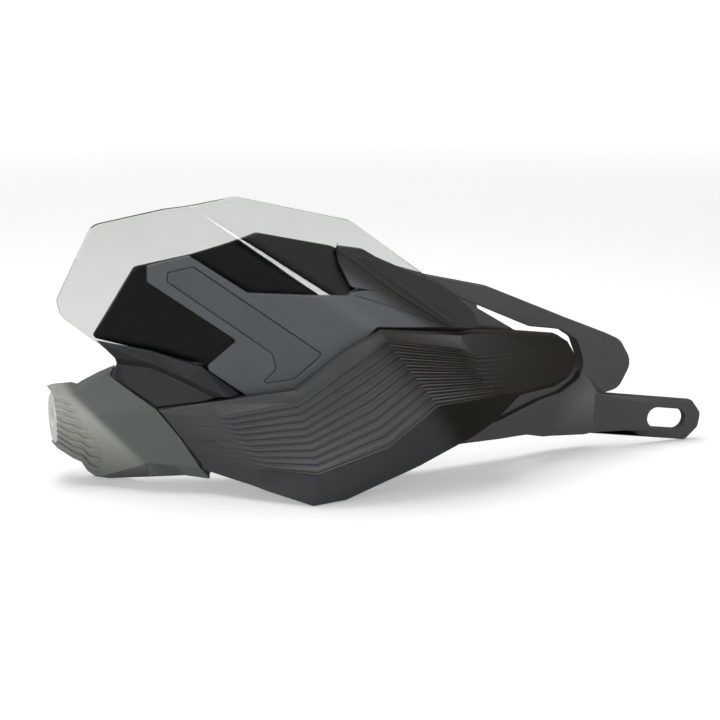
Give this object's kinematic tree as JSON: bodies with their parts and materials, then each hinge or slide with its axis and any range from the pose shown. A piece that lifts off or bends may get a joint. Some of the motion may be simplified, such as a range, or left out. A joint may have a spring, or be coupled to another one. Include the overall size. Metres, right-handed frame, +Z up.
{
  "type": "motorcycle hand guard",
  "caption": "Hand guard for a motorcycle handlebar with a ribbed shell, clear screen, bar end cover, loop-shaped frame and slotted mounting arm.",
  "frame": {"origin": "where the grip axis meets the outer face of the bar end disc", "axes": "+X along the grip axis, from the bar end towards the mounting arm; -Y is the guard's front, into the wind; +Z up, square to the surface that the guard stands on"},
  "size_m": [0.3195, 0.0983, 0.1354],
  "materials": {
    "frame_nylon": "satin black moulded nylon",
    "cover_plastic": "satin black moulding",
    "end_plastic": "semi-matt warm grey moulding",
    "base_plastic": "satin black moulding",
    "gloss_black": "gloss black",
    "clear_screen": "clear, faint grey-green tint",
    "retainer_plastic": "matt dark grey moulding",
    "inlay_plastic": "matt dark grey moulding",
    "black_rubber": "matt rubber",
    "bare_aluminium": "turned, clear anodised",
    "spring_steel": "plain spring steel",
    "black_steel": "black oxide",
    "zinc_steel": "zinc plated",
    "insert_brass": "plain brass"
  },
  "bodies": {
    "root": {"inner_frame": "frame_nylon", "front_cover": "cover_plastic", "end_cover": "end_plastic", "spoiler_base": "base_plastic", "backing_panel": "gloss_black", "screen": "clear_screen", "retainer": "retainer_plastic", "retainer_inlay": "inlay_plastic", "screen_grommets": "black_rubber", "bar_end_insert": "bare_aluminium", "retaining_ring": "spring_steel", "cover_screws": "black_steel", "cover_washers": "zinc_steel", "cover_inserts": "insert_brass", "panel_screws": "black_steel", "panel_washers": "zinc_steel", "panel_inserts": "insert_brass", "trim_screws": "black_steel", "trim_inserts": "insert_brass"}
  },
  "joints": []
}
